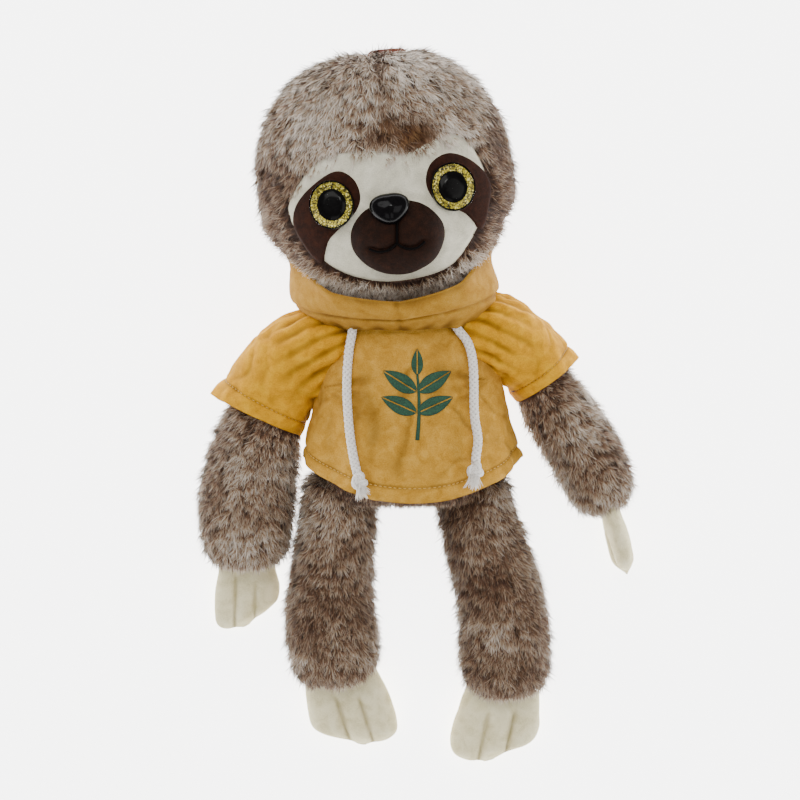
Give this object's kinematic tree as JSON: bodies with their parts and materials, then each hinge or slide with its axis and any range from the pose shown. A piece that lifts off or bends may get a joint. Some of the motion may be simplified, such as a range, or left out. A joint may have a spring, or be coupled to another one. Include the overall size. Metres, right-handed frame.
{
  "type": "plush sloth",
  "caption": "Plush sloth lying on its back: stuffed head, body and limbs that fold at their seams, in a short-sleeved hooded top with drawstrings.",
  "frame": {"origin": "on the floor under the middle of the back, where the top's back lies flat", "axes": "+Z out of the face and tummy, +Y towards the crown of the head, +X towards the toy's own left arm"},
  "size_m": [0.2434, 0.3987, 0.1248],
  "materials": {
    "fur": "long pile plush, frosted tips",
    "filling": "polyester fibre filling",
    "face_velour": "short pile cream velour",
    "dark_velour": "short pile dark brown velour",
    "claw_velour": "short pile cream velour",
    "top_velour": "yellow velour",
    "black_plastic": "polished black",
    "clear_plastic": "clear polished plastic",
    "glitter": "gold glitter foil",
    "nylon": "natural nylon",
    "ribbon": "brown woven ribbon",
    "cotton_cord": "white braided cotton",
    "print_ink": "dark green printed ink",
    "thread": "black embroidery thread"
  },
  "bodies": {
    "torso": {"torso_skin": "fur", "torso_filling": "filling", "top_body": "top_velour", "hood_collar": "top_velour", "chest_print": "print_ink", "drawstring_left": "cotton_cord", "drawstring_right": "cotton_cord", "knot_left": "cotton_cord", "knot_right": "cotton_cord"},
    "neck": {"neck_filling": "filling"},
    "head": {"head_skin": "fur", "head_filling": "filling", "face_panel": "face_velour", "eye_patch_left": "dark_velour", "eye_patch_right": "dark_velour", "muzzle_skin": "dark_velour", "muzzle_filling": "filling", "nose": "black_plastic", "nose_washer": "nylon", "mouth_stitch": "thread", "crown_tab": "ribbon", "eye_cup_left": "black_plastic", "eye_glitter_left": "glitter", "eye_dome_left": "clear_plastic", "eye_washer_left": "nylon", "eye_cup_right": "black_plastic", "eye_glitter_right": "glitter", "eye_dome_right": "clear_plastic", "eye_washer_right": "nylon"},
    "arm_left": {"arm_skin_left": "fur", "arm_filling_left": "filling", "sleeve_left": "top_velour"},
    "hand_left": {"hand_left": "claw_velour"},
    "arm_right": {"arm_skin_right": "fur", "arm_filling_right": "filling", "sleeve_right": "top_velour"},
    "hand_right": {"hand_right": "claw_velour"},
    "leg_left": {"leg_skin_left": "fur", "leg_filling_left": "filling"},
    "foot_left": {"foot_left": "claw_velour"},
    "leg_right": {"leg_skin_right": "fur", "leg_filling_right": "filling"},
    "foot_right": {"foot_right": "claw_velour"}
  },
  "joints": [
    {"name": "neck_turn", "type": "hinge", "parent": "torso", "child": "neck", "pos_m": [-0.003, 0.065, 0.046], "axis": [0, 1, 0], "range_deg": [-30, 30], "deforming": ["hood_collar"]},
    {"name": "head_nod", "type": "hinge", "parent": "neck", "child": "head", "pos_m": [-0.003, 0.065, 0.046], "axis": [1, 0, 0], "range_deg": [-15, 15], "deforming": ["hood_collar"]},
    {"name": "arm_lift_left", "type": "hinge", "parent": "torso", "child": "arm_left", "pos_m": [0.043, 0.05, 0.043], "axis": [-1, 0, 0], "range_deg": [0, 100], "deforming": ["top_body", "sleeve_left"]},
    {"name": "arm_lift_right", "type": "hinge", "parent": "torso", "child": "arm_right", "pos_m": [-0.043, 0.045, 0.043], "axis": [-1, 0, 0], "range_deg": [0, 100], "deforming": ["top_body", "sleeve_right"]},
    {"name": "hand_swing_left", "type": "hinge", "parent": "arm_left", "child": "hand_left", "pos_m": [0.1155, -0.049, 0.0175], "axis": [0, 0, 1], "range_deg": [-45, 45]},
    {"name": "hand_fold_right", "type": "hinge", "parent": "arm_right", "child": "hand_right", "pos_m": [-0.089, -0.079, 0.0105], "axis": [-1, 0, 0], "range_deg": [-30, 45]},
    {"name": "leg_fold_left", "type": "hinge", "parent": "torso", "child": "leg_left", "pos_m": [0.0385, -0.0545, 0.047], "axis": [-1, 0, 0], "range_deg": [0, 90], "deforming": ["top_body"]},
    {"name": "leg_fold_right", "type": "hinge", "parent": "torso", "child": "leg_right", "pos_m": [-0.0365, -0.0545, 0.047], "axis": [-1, 0, 0], "range_deg": [0, 90], "deforming": ["top_body"]},
    {"name": "foot_fold_left", "type": "hinge", "parent": "leg_left", "child": "foot_left", "pos_m": [0.0565, -0.151, 0.0136], "axis": [-1, 0, 0], "range_deg": [-20, 35]},
    {"name": "foot_fold_right", "type": "hinge", "parent": "leg_right", "child": "foot_right", "pos_m": [-0.0375, -0.143, 0.0136], "axis": [-1, 0, 0], "range_deg": [-20, 35]}
  ]
}
